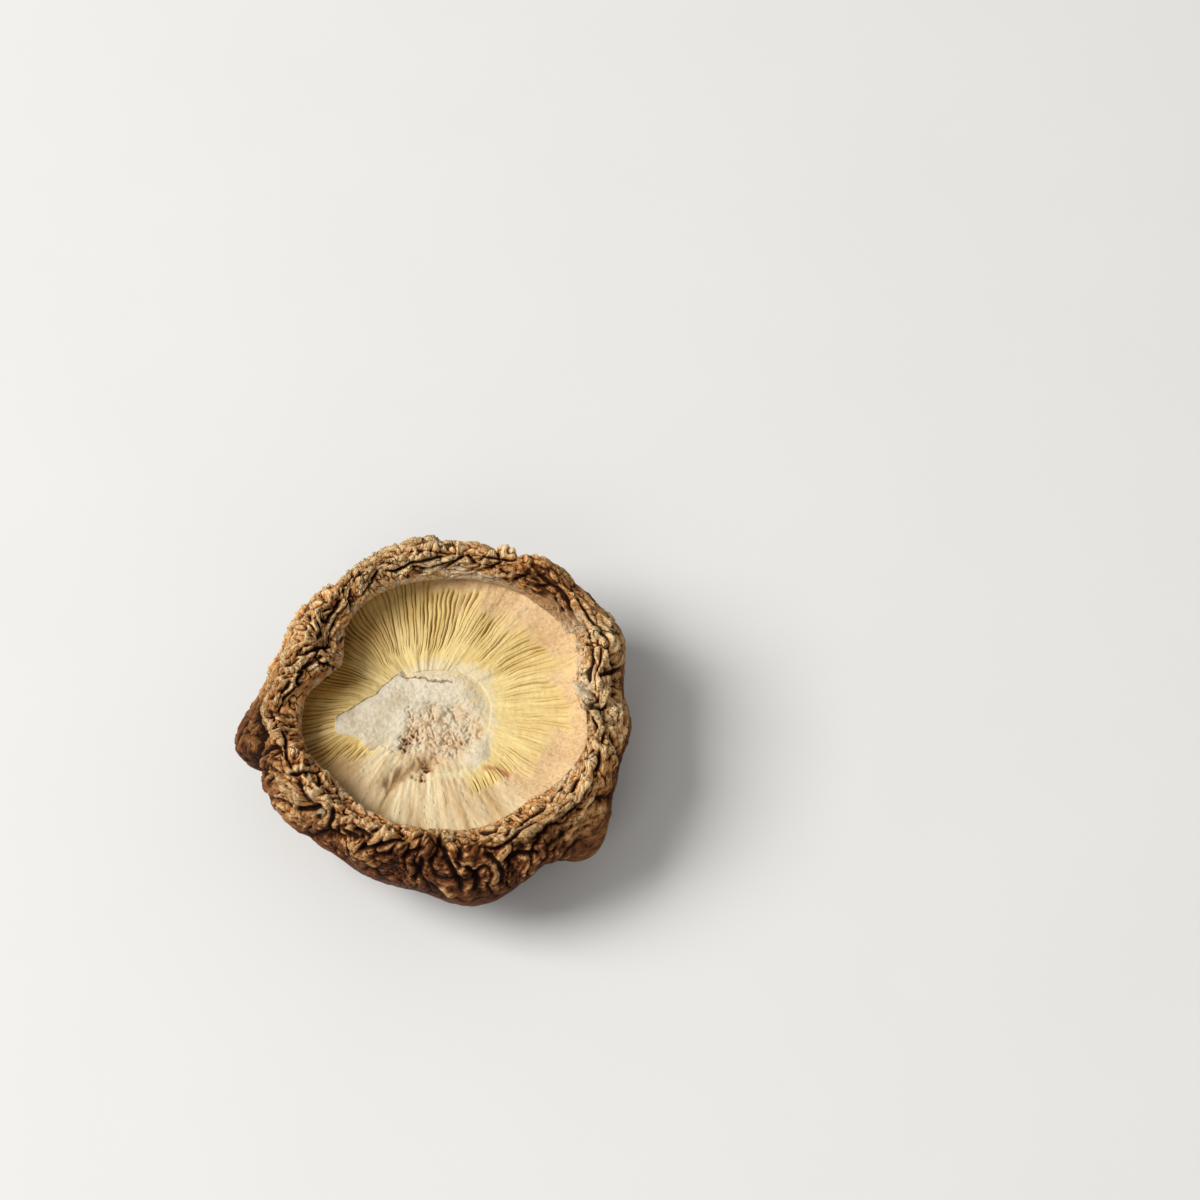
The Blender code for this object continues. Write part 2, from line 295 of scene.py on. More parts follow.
FOLDS = (
    (1.3, 1.1, ((204, 3.4), (206, 4.6), (204, 5.8), (195, 6.8), (188, 8.2))),
    (1.0, 1.0, ((176, 6.4), (183, 6.0), (190, 6.2), (198, 6.6))),
    (1.1, 1.0, ((200, 6.6), (209, 7.2), (219, 7.1), (229, 6.5))),
    (1.0, 0.9, ((229, 3.6), (232, 4.8), (236, 5.8), (247, 6.6), (258, 6.9))),
    (0.9, 0.8, ((238, 7.6), (250, 7.7), (262, 7.2), (272, 6.6))),
    (1.2, 1.0, ((284, 3.2), (281, 4.4), (275, 5.6), (268, 6.5))),
    (1.1, 0.9, ((287, 3.0), (289, 4.4), (287, 5.8), (279, 7.0), (273, 8.0))),
    (1.1, 1.0, ((291, 3.4), (297, 4.8), (299, 6.0), (292, 7.0))),
    (1.0, 0.9, ((299, 6.4), (309, 6.9), (320, 6.9), (331, 6.5))),
    (1.3, 1.2, ((307, 2.8), (308, 4.0), (307, 5.2), (302, 6.0))),
    (1.0, 1.0, ((332, 3.6), (334, 4.8), (330, 5.8), (323, 6.4))),
    (0.9, 0.9, ((342, 5.4), (350, 6.6), (359, 7.4), (7, 8.4))),
    (1.0, 0.8, ((356, 6.2), (3, 6.6), (10, 6.4), (17, 7.0))),
    (0.8, 0.8, ((18, 7.4), (28, 7.6), (40, 7.2), (50, 7.3))),
    (0.9, 0.9, ((55, 5.4), (58, 6.6), (62, 7.6), (66, 8.6))),
    (0.8, 0.8, ((66, 7.0), (80, 7.3), (96, 7.1), (112, 7.4), (126, 7.2))),
    (0.8, 0.8, ((84, 6.0), (98, 6.2), (114, 6.1), (130, 6.4), (142, 6.2))),
    (0.9, 0.8, ((128, 8.0), (142, 7.8), (154, 7.2), (166, 7.0))),
    (0.8, 0.8, ((140, 5.4), (152, 5.8), (164, 5.6), (174, 5.2))),
    (1.0, 1.4, ((30, 2.0), (48, 3.2), (72, 3.6), (96, 3.0))),
    (1.1, 1.5, ((110, 1.2), (124, 2.6), (146, 3.6), (168, 3.4))),
    (1.0, 1.4, ((200, 0.9), (188, 2.2), (206, 3.0), (226, 2.6))),
    (0.9, 1.3, ((330, 1.0), (352, 2.2), (14, 3.2), (22, 4.4))),
)

CREASES = (
    ((253, 6.9), (256, 7.3), (258, 8.2)),
    ((251, 6.3), (257, 6.6), (262, 6.9), (266, 7.1)),
    ((263, 7.6), (266, 7.4)),
    ((275, 7.6), (278, 7.1), (279, 6.7), (280, 6.3), (282, 5.8), (283, 5.3)),
    ((278, 8.5), (278, 7.7), (279, 7.0)),
    ((283, 8.4), (284, 7.3), (283, 6.5)),
    ((284, 6.5), (286, 6.2), (287, 5.8), (286, 5.3)),
    ((290, 7.2), (295, 6.9), (299, 7.1), (303, 7.2), (308, 7.3), (311, 7.3)),
    ((292, 8.5), (297, 8.0), (301, 8.1)),
    ((298, 7.3), (302, 7.5), (308, 7.7), (313, 7.7), (320, 7.6)),
    ((292, 6.8), (294, 6.4), (294, 6.0), (293, 5.5)),
    ((296, 6.3), (300, 6.5), (306, 6.2)),
    ((269, 5.5), (271, 6.0), (272, 6.5)),
    ((273, 7.0), (268, 6.6), (265, 6.2)),
    ((203, 7.0), (202, 6.6), (203, 6.2), (205, 5.7), (210, 5.9)),
    ((197, 7.3), (201, 7.5), (206, 7.3), (210, 7.2)),
    ((215, 6.8), (216, 7.1), (218, 7.7), (219, 8.5)),
    ((218, 8.2), (223, 7.8), (227, 7.3)),
    ((232, 7.0), (230, 6.6), (228, 6.4), (225, 6.2)),
    ((224, 8.5), (230, 8.3), (237, 7.8)),
    ((236, 7.3), (237, 6.9), (238, 6.7), (238, 6.3)),
    ((243, 6.6), (247, 6.6), (250, 6.6)),
    ((247, 6.8), (251, 6.9), (254, 6.8)),
    ((165, 7.2), (163, 7.4), (158, 7.6), (150, 8.2)),
    ((172, 7.6), (168, 7.7), (164, 7.8), (161, 7.9)),
    ((171, 7.1), (169, 7.2), (166, 7.3)),
    ((172, 7.5), (172, 7.7), (176, 7.8), (178, 8.2)),
    ((182, 7.3), (180, 7.5), (176, 7.5)),
    ((185, 7.5), (182, 7.7), (178, 8.0)),
    ((165, 7.9), (164, 8.2), (162, 8.9)),
    ((124, 7.6), (127, 8.0), (129, 8.5), (130, 8.9)),
    ((146, 7.2), (150, 7.5), (154, 7.4)),
    ((145, 7.3), (142, 7.7), (134, 7.8), (130, 7.7)),
    ((153, 6.3), (150, 6.7)),
    ((147, 8.7), (142, 8.9), (136, 8.9)),
    ((123, 8.4), (117, 8.1), (112, 7.8), (110, 7.5)),
    ((108, 7.7), (103, 7.9), (99, 7.8), (96, 7.7), (88, 7.7), (80, 7.5)),
    ((93, 8.1), (88, 8.2), (84, 8.0), (78, 7.7)),
    ((82, 8.3), (80, 8.0), (75, 7.5)),
    ((75, 7.3), (73, 7.5), (70, 7.9)),
    ((69, 7.4), (65, 7.3), (61, 7.2), (56, 7.1)),
    ((54, 8.9), (54, 8.4), (53, 7.9), (50, 7.5)),
    ((50, 8.2), (46, 8.0), (42, 7.5)),
    ((40, 6.2), (32, 7.1), (25, 7.2), (17, 6.9)),
    ((40, 7.8), (37, 7.9), (32, 8.1)),
    ((16, 7.5), (12, 7.5), (3, 7.6)),
    ((15, 7.0), (12, 7.0), (8, 7.2)),
    ((5, 7.2), (6, 6.7), (11, 5.6)),
    ((356, 8.1), (354, 7.4), (354, 6.8), (357, 6.6)),
    ((355, 7.8), (356, 7.4), (358, 7.1)),
    ((352, 7.7), (348, 7.4), (343, 7.6)),
    ((351, 6.9), (347, 6.8), (342, 7.0)),
    ((334, 7.7), (337, 7.5), (340, 7.3)),
    ((340, 7.1), (337, 6.8), (334, 6.7)),
    ((326, 7.8), (333, 8.4)),
    ((318, 7.7), (322, 7.8), (325, 7.7)),
    ((324, 7.2), (329, 7.5), (334, 7.4)),
)

RIDGES = (
    (1.0, ((252, 6.5), (258, 6.9), (261, 7.2), (264, 7.6))),
    (0.35, ((254, 6.8), (258, 7.2), (258, 8.1))),
    (0.8, ((279, 8.5), (282, 8.3), (282, 6.8))),
    (0.35, ((279, 6.8), (280, 6.6), (282, 6.2))),
    (0.35, ((284, 6.6), (284, 6.4), (283, 6.1))),
    (0.45, ((299, 6.9), (297, 6.7), (292, 6.3))),
    (0.3, ((277, 5.6), (279, 5.3), (280, 5.1))),
    (1.0, ((302, 6.8), (306, 6.9), (310, 6.8))),
    (0.8, ((230, 7.5), (234, 7.2), (236, 6.8), (237, 6.3))),
    (0.5, ((226, 7.5), (229, 7.1))),
    (0.45, ((214, 6.8), (215, 7.2), (216, 8.0))),
    (0.4, ((162, 7.2), (159, 7.5))),
    (1.0, ((169, 7.4), (165, 7.5))),
    (0.7, ((175, 7.5), (178, 7.7))),
    (0.5, ((170, 7.9), (165, 7.9))),
    (1.0, ((144, 7.7), (143, 8.2))),
    (0.45, ((173, 7.1), (171, 7.3))),
    (0.5, ((104, 8.1), (100, 8.0), (96, 7.8))),
    (0.6, ((93, 7.8), (87, 8.0), (83, 7.8), (78, 7.6))),
    (0.6, ((94, 8.4), (89, 8.4), (85, 8.2))),
    (0.6, ((63, 7.0), (61, 6.7), (57, 6.7))),
    (0.9, ((359, 8.3), (0, 7.8), (2, 7.4), (3, 7.0))),
    (0.7, ((334, 7.5), (336, 7.3), (338, 7.1))),
    (0.5, ((19, 6.7), (17, 6.6), (14, 6.1))),
    (0.8, ((20, 7.3), (18, 7.1))),
    (0.4, ((192, 6.5), (195, 6.9))),
)


# %% [markdown]
# ## Numbers for many vertices at once
# The functions below take whole arrays, one entry per vertex, so a hundred thousand vertices
# take a second or two instead of minutes.

# %% Curves and noise
def smooth_step(low, high, value):
    """0 below low, 1 above high, and a smooth rise between them."""
    t = np.clip((value - low) / (high - low), 0, 1)
    return t * t * (3 - 2 * t)


def curve(a, b, c, d, t):
    """A smooth curve from b to c, where a and d are the points before and after."""
    return b + 0.5 * t * (c - a + t * (2 * a - 5 * b + 4 * c - d + t * (3 * (b - c) + d - a)))


def round_value(values, bearing):
    """The value at each bearing, on the smooth closed curve through evenly spaced values."""
    values = np.array(values)
    place = bearing / math.tau * len(values)
    first = np.floor(place).astype(int)
    a, b, c, d = (values[(first + k) % len(values)] for k in (-1, 0, 1, 2))
    return curve(a, b, c, d, place - first)


def grain(points, cells, seed=0.0):
    """Smooth noise at an array of points, mostly between -0.6 and 0.6; cells are in the points' unit."""
    spots = (points / np.array(cells) + seed).reshape(-1, 3).tolist()
    values = np.array([noise.noise(spot) for spot in spots])
    return values.reshape(points.shape[:-1])


def gill_plane(x, y):
    """Height of the gill edges at a place: a shallow dish that lies deeper on the left."""
    return GILL_HEIGHT + GILL_SLOPE * x + 0.0025 * (x * x + y * y)


# %% [markdown]
# ## Roll up the cap
# The sheet has a column of squares for every quarter of a millimetre round the rim. Its rows lie
# close together on the rim, which the eye goes to, and further apart where the gills hide it.

# %% Place the rows and columns of the cap's sheet
CAP_COLUMNS, CAP_ROWS = 720, 132
row_share = np.linspace(0, 1, CAP_ROWS + 1)
row_station = np.interp(row_share, (0, 0.06, 0.24, 0.94, 0.97, 1), (0, 2, 4.3, 9.3, 11, LAST))
column_bearing = np.linspace(0, math.tau, CAP_COLUMNS + 1)
station, bearing = np.meshgrid(row_station, column_bearing, indexing="ij")


def cap_section(bearing):
    """Landmarks of the cap's section at each bearing: one (radius, height) per station."""
    outer = round_value(CAP_RADII, bearing)
    mouth = round_value(MOUTH_RADII, bearing)
    top = round_value(RIM_TOPS, bearing)
    rim = outer - mouth
    flat = 0 * outer
    return np.array((
        (flat, flat),
        (0.32 * outer, flat + 0.3),
        (0.61 * outer, flat + 1.7),
        (0.83 * outer, flat + 4.4),
        (0.955 * outer, flat + 7.6),
        (outer, flat + EQUATOR),
        (outer - 0.11 * rim, 0.42 * EQUATOR + 0.58 * top),
        (mouth + 0.56 * rim, top),
        (mouth + 0.17 * rim, top - 0.9),
        (mouth, top - LIP_DROP),
        (mouth + TUCK, top - 4.6),
        (mouth + TUCK, flat + FLESH_FLOOR + 0.8),
        (flat, flat + FLESH_FLOOR),
    ))


def place_on_section(station, bearing):
    """Radius and height at each station and bearing."""
    marks = cap_section(bearing)
    mirror = np.array([-1, 1]).reshape(2, *[1] * bearing.ndim)
    marks = np.concatenate((marks[1:2] * mirror, marks, marks[-2:-1] * mirror))
    first = np.minimum(station.astype(int), LAST - 1)
    a, b, c, d = (np.take_along_axis(marks, (first + k)[None, None], 0)[0] for k in range(4))
    return curve(a, b, c, d, station - first)


radius, height = place_on_section(station, bearing)
skin = np.stack((radius * np.cos(bearing), radius * np.sin(bearing), height), -1)
print("cap sheet:", skin.shape[0], "rows of", skin.shape[1], "points")


# %% Push the skin in and out
def outward(points):
    """Unit normals of a rolled sheet of points."""
    across = np.gradient(points, axis=0)
    padded = np.concatenate((points[:, -2:-1], points, points[:, 1:2]), 1)
    around = (padded[:, 2:] - padded[:, :-2]) / 2
    normal = np.cross(around, across)
    return normal / np.maximum(np.linalg.norm(normal, axis=-1, keepdims=True), 1e-9)


def turn_between(bearing, centre):
    """Degrees from a centre bearing to each bearing, the short way round."""
    return (np.degrees(bearing) - centre + 180) % 360 - 180


def line_distance(x, y, points):
    """Distance of each place to an open line, and how far along the line it is, 0 to 1."""
    best = np.full(x.shape, np.inf)
    where = np.zeros(x.shape)
    for k, ((ax, ay), (bx, by)) in enumerate(zip(points, points[1:])):
        dx, dy = bx - ax, by - ay
        t = np.clip(((x - ax) * dx + (y - ay) * dy) / (dx * dx + dy * dy), 0, 1)
        gap = np.hypot(x - ax - t * dx, y - ay - t * dy)
        where = np.where(gap < best, (k + t) / (len(points) - 1), where)
        best = np.minimum(best, gap)
    return best, where


reach = np.maximum(6.0, radius)
arc = math.radians(1) * reach
lump = np.zeros(bearing.shape)
for centre, level, width, rise in LUMPS:
    x = turn_between(bearing, centre) * arc
    y = (station - level) * STATION_LENGTH
    lump += rise * np.exp(-(x * x + y * y) / width ** 2)

# Everything along the rim is measured in millimetres round it and across it.
steps = np.linalg.norm(np.diff(np.stack((radius, height)), axis=1), axis=0)
across = np.concatenate((np.zeros((1, CAP_COLUMNS + 1)), np.cumsum(steps, 0)))
crest_row = int(np.argmin(abs(row_station - CREST)))
across -= across[crest_row]
flow = np.stack((22 * np.cos(bearing), 22 * np.sin(bearing), across), -1)
sway = np.stack([grain(flow, (7, 7, 5), seed) for seed in (3.1, 17.7, 31.3)], -1)
fine_sway = np.stack([grain(flow, (2.2, 2.2, 1.8), seed) for seed in (5.3, 11.9, 23.7)], -1)

fold = np.zeros(bearing.shape)
for depth, width, points in FOLDS:
    start = points[0][0]
    line = [(((b - start + 180) % 360 - 180), s * STATION_LENGTH) for b, s in points]
    x = turn_between(bearing, start) + 2.2 * sway[..., 0] + 0.5 * fine_sway[..., 1]
    y = station * STATION_LENGTH + 1.6 * sway[..., 2] + 0.7 * fine_sway[..., 0]
    line = [(a * math.radians(1) * 22, b) for a, b in line]
    gap, where = line_distance(x * arc, y, line)
    fade = 1 - (2 * where - 1) ** 4
    fold -= 0.9 * depth * fade * np.exp(-(gap / width) ** 1.0)
    fold += 0.3 * depth * fade * np.exp(-((gap - 1.8 * width) / width) ** 2)


def nearness(points, width):
    """1 on a line given by bearings and stations, and less within a width of it."""
    start = points[0][0]
    line = [(((b - start + 180) % 360 - 180) * RIM_DEGREE, s * RIM_STATION) for b, s in points]
    x = turn_between(bearing, start) * RIM_DEGREE + 0.22 * fine_sway[..., 0]
    y = station * RIM_STATION + 0.22 * fine_sway[..., 1]
    gap, where = line_distance(x, y, line)
    return np.exp(-(gap / width) ** 2) * (1 - (2 * where - 1) ** 6)


RIM_DEGREE, RIM_STATION = 0.36, 3.4
# The listed creases are pressed in and the listed ridges raised. The cap's paint also paints the creases dark,
# painted shade, and the ridges paler, a painted highlight.
crack = np.zeros(bearing.shape)
for points in CREASES:
    crack = np.maximum(crack, nearness(points, 0.30))
raised = np.zeros(bearing.shape)
for width, points in RIDGES:
    raised = np.maximum(raised, nearness(points, 0.35 + 0.5 * width))

# Lower down the folds are flatter, so that the outline stays calm.
fold *= 0.25 + 0.75 * smooth_step(4.7, 6.3, station)
fold *= 1 - 0.45 * smooth_step(40, 28, abs(turn_between(bearing, 282)))
on_rim = smooth_step(WALL - 0.4, SHOULDER - 0.6, station)
high_up = smooth_step(4.8, 6.6, station)
bent = flow + 2.2 * sway + 0.45 * fine_sway
slant = np.stack((0 * across, 0 * across, 1.5 * sway[..., 0] + 0.8 * sway[..., 1]), -1)
def plates(noise, width):
    """Flat plates with narrow cracks between them: 0 in a crack, 1 on a plate."""
    return 1 - np.exp(-abs(noise) / width)


rope = grain(bent + slant, (7.0, 7.0, 3.0), 2.5) + 0.25 * grain(bent, (2.4, 2.4, 1.3), 4.6)
worm = grain(bent + 1.6 * slant, (2.9, 2.9, 1.15), 7.7) + 0.5 * grain(bent, (1.0, 1.0, 0.6), 9.4)
twig = grain(bent + slant, (1.3, 1.3, 0.66), 13.1) + 0.5 * grain(bent, (0.6, 0.6, 0.4), 1.9)
crease = grain(bent + 1.2 * slant, (4.6, 4.6, 1.7), 51.3) + 0.35 * grain(bent, (1.2, 1.2, 0.7), 3.4)
strength = np.clip(0.85 + 1.3 * grain(flow, (6, 6, 5), 41.0), 0.3, 1.5)
# The front dried smoother, in a few broad, sharp-edged folds, and so did the knob on the left.
front = smooth_step(54, 34, abs(turn_between(bearing, 274)))
front *= smooth_step(0, 0.9, 7.5 + 0.8 * smooth_step(16, 8, abs(turn_between(bearing, 282))) - station)
knob = smooth_step(28, 15, abs(turn_between(bearing, 200))) * smooth_step(7.0, 6.2, station)
calm = 1 - 0.75 * np.maximum(front, 0.4 * knob)
wrinkle = 0.95 * (0.5 + 0.5 * high_up) * calm * (abs(rope) ** 0.7 - 0.38)
wrinkle += 0.42 * (0.3 + 0.7 * high_up) * strength * calm * (plates(worm, 0.11) - 0.7)
wrinkle += 0.50 * (0.25 + 0.75 * high_up) * calm * (np.exp(-(crease / 0.13) ** 2) - 0.25)
wrinkle += 0.20 * (0.5 + 0.5 * high_up) * (plates(twig, 0.10) - 0.65)
facet = grain(bent + 1.2 * slant, (2.8, 2.8, 6.0), 61.0) + 0.35 * grain(bent, (1.8, 1.8, 2.6), 17.0)
ripple = grain(bent + slant, (2.0, 2.0, 2.0), 37.0) + 0.4 * grain(bent, (0.8, 0.8, 0.8), 27.0)
folded = 0.85 * (plates(facet, 0.06) - 0.88) + 0.9 * grain(bent, (4.0, 4.0, 3.4), 71.0)
folded += 0.35 * (plates(ripple, 0.06) - 0.8) + 0.12 * (plates(twig, 0.08) - 0.7)
wrinkle += front * folded * smooth_step(4.6, 6.0, station)
wrinkle += knob * 0.5 * (plates(ripple, 0.10) - 0.7)
wrinkle += 0.5 * raised - 0.75 * crack
wrinkle -= 0.25 * smooth_step(7.0, 7.9, station)

crown = 2.2 * abs(grain(skin, (9, 9, 7), 1.3)) + 0.8 * abs(grain(skin, (3.5, 3.5, 3), 5.1)) ** 0.8
crown += 0.3 * abs(grain(skin, (1.5, 1.5, 1.4), 8.1)) ** 0.8 - 0.9

inside = smooth_step(LIP - 1.1, LIP + 0.1, station)
push = lump + fold + on_rim * wrinkle + (1 - on_rim) * crown
push = push * (1 - inside) + inside * 0.2 * abs(worm)
push *= smooth_step(0, 1.5, station) * (1 - smooth_step(LIP + 0.6, LIP + 1.4, station))
moulded = skin + outward(skin) * push[..., None]


def blur(values, rows, columns):
    """Each value averaged with its neighbours on the rolled sheet."""
    wide = np.concatenate((values[:, -1 - columns:-1], values, values[:, 1:columns + 1]), 1)
    total = np.cumsum(np.concatenate((np.zeros((len(wide), 1)), wide), 1), 1)
    flat = (total[:, 2 * columns + 1:] - total[:, :-2 * columns - 1]) / (2 * columns + 1)
    tall = np.concatenate((flat[:1].repeat(rows, 0), flat, flat[-1:].repeat(rows, 0)))
    total = np.cumsum(np.concatenate((np.zeros((1, tall.shape[1])), tall)), 0)
    return (total[2 * rows + 1:] - total[:-2 * rows - 1]) / (2 * rows + 1)


# Height above the mean of the neighbours, broad (relief) and fine (edges). The cap's paint uses both for
# painted shade in hollows and a painted highlight on crests.
relief = np.clip(0.5 + (push - blur(blur(push, 9, 7), 9, 7)) / 1.6, 0, 1)
edges = np.clip(0.5 + (push - blur(blur(push, 2, 2), 2, 2)) / 0.5, 0, 1)
front = np.maximum(front, 0.8 * knob)

# Some stretches of the skin are paler than the rest, and some darker.
TONE_PATCHES = ((232, 6.8, 2.8, 0.05), (248, 7.1, 2.4, 0.10), (96, 7.1, 7.0, 0.42), (126, 7.0, 4.0, 0.12),
                (352, 7.2, 5.0, 0.45), (2, 7.8, 1.6, 0.6), (22, 6.8, 3.0, 0.35), (322, 7.2, 4.5, 0.28),
                (194, 6.6, 1.2, 0.5), (168, 6.9, 3.0, 0.2), (44, 7.7, 4.2, -0.8), (203, 6.0, 3.4, -0.5),
                (272, 7.0, 6.0, -0.12), (338, 5.6, 4.0, -0.3), (12, 6.0, 3.0, -0.2),
                (198, 5.0, 4.4, -0.3), (78, 7.4, 5.0, 0.2), (14, 7.2, 4.5, 0.32), (358, 6.4, 3.0, 0.2))
tint = np.zeros(bearing.shape)
for centre, level, width, amount in TONE_PATCHES:
    x = turn_between(bearing, centre) * arc
    y = (station - level) * STATION_LENGTH
    tint += amount * np.exp(-(x * x + y * y) / width ** 2)

# The pale skin of the inside runs over the lip and ends at a ragged line on the rim.
PALE_STARTS = (8.3, 8.1, 8.2, 8.3, 8.6, 8.7, 8.8, 8.8, 8.9, 8.8, 8.5, 8.5, 9.0, 9.1, 8.6, 8.3)
PALE_SPOTS = ((0, 7.8, 1.7), (347, 8.4, 1.9), (28, 7.8, 1.5), (194, 6.6, 0.5), (226, 6.9, 0.7),
              (233, 6.6, 0.7), (256, 7.4, 0.6))
ragged = 0.5 * grain(flow, (1.6, 1.6, 1.0), 3.7) + 0.35 * grain(flow, (0.7, 0.7, 0.5), 6.1)
pale = smooth_step(-0.25, 0.3, station - round_value(PALE_STARTS, bearing) + 1.4 * ragged)
for centre, level, width in PALE_SPOTS:
    x = turn_between(bearing, centre) * arc
    y = (station - level) * STATION_LENGTH
    pale = np.maximum(pale, smooth_step(1.1, 0.6, np.hypot(x, y) / width + ragged))
print("push from", round(push.min(), 2), "to", round(push.max(), 2), "mm")


# %% [markdown]
# ## From a sheet of points to a piece
# The piece starts as a flat grid with as many squares as the sheet. Its vertices go to the
# sheet's points, the whole mushroom leans a little to the front, and the edges that meet are
# merged, which closes the body.

# %% Make the cap
def lay_down(points):
    """Leans the points with the mushroom and sets them where the CAD solids are, in metres."""
    lean = np.array(Matrix.Rotation(LEAN, 3, "X"))
    return points @ lean.T + PLACE


def sew_sheet(name, points, values):
    """A closed piece from a rolled sheet of points, with values stored on its vertices."""
    rows, columns = points.shape[0] - 1, points.shape[1] - 1
    bpy.ops.object.select_all(action="DESELECT")
    bpy.ops.mesh.primitive_grid_add(x_subdivisions=columns, y_subdivisions=rows, size=1)
    piece = bpy.context.object
    piece.name = name
    mesh = piece.data
    mesh.vertices.foreach_set("co", (points * MM).ravel())
    for key, value in values.items():
        kind = "FLOAT_VECTOR" if value.ndim == 3 else "FLOAT"
        layer = mesh.attributes.new(key, kind, "POINT")
        layer.data.foreach_set("vector" if value.ndim == 3 else "value", value.ravel())
    bpy.ops.object.mode_set(mode="EDIT")
    bpy.ops.mesh.select_all(action="SELECT")
    bpy.ops.mesh.remove_doubles(threshold=0.000001)
    bpy.ops.mesh.normals_make_consistent(inside=False)
    bpy.ops.object.mode_set(mode="OBJECT")
    bpy.ops.object.shade_smooth()
    print(name, "has", len(mesh.polygons), "faces")
    return piece


def fit_box(points, low, high):
    """Points stretched by a percent or so to fill a box exactly."""
    least, most = points.min((0, 1)), points.max((0, 1))
    print("fit by", (high - low) / (most - least))
    return low + (points - least) / (most - least) * (high - low)


leaned = lay_down(moulded)
leaned[..., 2] = np.maximum(leaned[..., 2], leaned[..., 2].min() + REST_FLAT)
low, high = (np.array(corner) / MM for corner in cad_box)
placed = fit_box(leaned, low, high)
cap = sew_sheet("cap_skin", placed, {"relief": relief, "edges": edges, "worm": worm, "twig": twig, "flow": bent,
                                     "crack": crack, "raised": raised,
                                     "pale": pale, "front": front, "tint": tint,
                                     "station": station})

# %% Paint the cap
material, shader, wire = new_material("cap_skin", 0.7, 0.12)
relief_map, edge_map = read(wire, "relief"), read(wire, "edges")
level, front_map = read(wire, "station"), read(wire, "front")
worm_map, twig_map = read(wire, "worm").size(), read(wire, "twig").size()
flow_map = read(wire, "flow", 1)
blotch = flow_map.noise(0.14, 3.0)
speck = flow_map.times((1, 1, 1.8)).noise(1.9, 4.0, 0.7)
fine_creases = (flow_map.times((1, 1, 2.1)).noise(1.15, 2.0, 0.5) - 0.5).size()
high_up = level.rise(4.9, 6.6)
# The tone mixes the skin's own mottling (speck, blotch and the tinted patches) with painted light: relief and
# edges make it lower in hollows, painted shade, and higher on crests and on the listed ridges, a painted
# highlight.
tone = relief_map * 0.8 + edge_map * 1.2 + (speck - 0.5) * 1.8 + (blotch - 0.5) * 0.8 - 0.36
tone = tone + read(wire, "tint") + read(wire, "raised") * 0.30
# Low tone is a near-black brown, painted shade in the hollows; high tone is tan and then cream, a painted
# highlight on crests and the skin's own pale patches, somewhat paler higher up the rim.
brown = tone.rise(0.0, 0.5).mix((0.12, 0.036, 0.009), (0.56, 0.225, 0.068))
tan = (tone + high_up * 0.12).rise(0.45, 0.95).mix(brown, (0.86, 0.425, 0.145))
cream = (tone + high_up * 0.12).rise(1.0, 1.35).mix(tan, (0.98, 0.67, 0.34))
# Lower down the wall the colour turns a darker red-brown: partly the skin's own colour, partly painted shade on
# the underside, which faces away from the lamp. Its low tone is painted shade in the hollows.
lower_red_and_shade = tone.rise(0.1, 1.1).mix((0.028, 0.007, 0.002), (0.22, 0.066, 0.018))
red = (high_up + (blotch - 0.5) * 1.6 - front_map * 0.25).rise(0.6, 0.0) * 0.85
skin_tone = red.mix(cream, lower_red_and_shade)
# The front wall and the knob are a dark red-brown, with painted shade in the hollows of their folds and a
# painted highlight, a sheen, on the crests.
front_shade_and_sheen = tone.rise(0.2, 1.0).mix((0.016, 0.004, 0.001), (0.20, 0.060, 0.014))
front_shade_and_sheen = tone.rise(0.95, 1.6).mix(front_shade_and_sheen, (0.78, 0.42, 0.16))
skin_tone = front_map.mix(skin_tone, front_shade_and_sheen)
# Painted shade: near-black lines in the crevices between the wrinkles, along the fine creases, in the hollows
# of the fine relief and along the listed creases, fainter on the front.
crevice_shade = (high_up * 0.6 + 0.4) * worm_map.rise(0.075, 0.01)
crevice_shade = crevice_shade.sum("MAXIMUM", (high_up * 0.55 + 0.3) * twig_map.rise(0.06, 0.005))
crevice_shade = crevice_shade.sum("MAXIMUM", fine_creases.rise(0.035, 0.008) * 0.6) * (1 - front_map * 0.6)
crevice_shade = crevice_shade.sum("MAXIMUM", edge_map.rise(0.32, 0.12))
crevice_shade = crevice_shade.sum("MAXIMUM", read(wire, "crack").rise(0.15, 0.75))
skin_tone = (crevice_shade * 0.94).mix(skin_tone, (0.022, 0.007, 0.003))
# The pale lining over the lip: its own speckled cream, a little paler on crests (painted highlight), with a
# weaker painted shade in its crevices.
lining = (speck * 0.9 + edge_map * 0.4 + read(wire, "tint")).rise(0.35, 0.9).mix(
    (0.56, 0.31, 0.13), (0.95, 0.76, 0.50))
lining = (crevice_shade * 0.4).mix(lining, (0.20, 0.08, 0.025))
connect(shader, "Base Color", read(wire, "pale").mix(skin_tone, lining))
connect(shader, "Roughness", 0.85 - front_map * 0.35)
fine = twig_map * 0.5 + fine_creases * 1.2 + speck * 1.2
connect(shader, "Normal", bump(fine, 0.0006, 1.0))
cap.data.materials.append(material)
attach(cap, "root")
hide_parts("cap")

# %% [markdown]
# ## Damage that crosses from one piece to the next
# The stem's torn middle runs on into the flesh in front of it, so the hollows and the furrow
# there are written down once, in millimetres from the mushroom's axis, and serve both pieces.

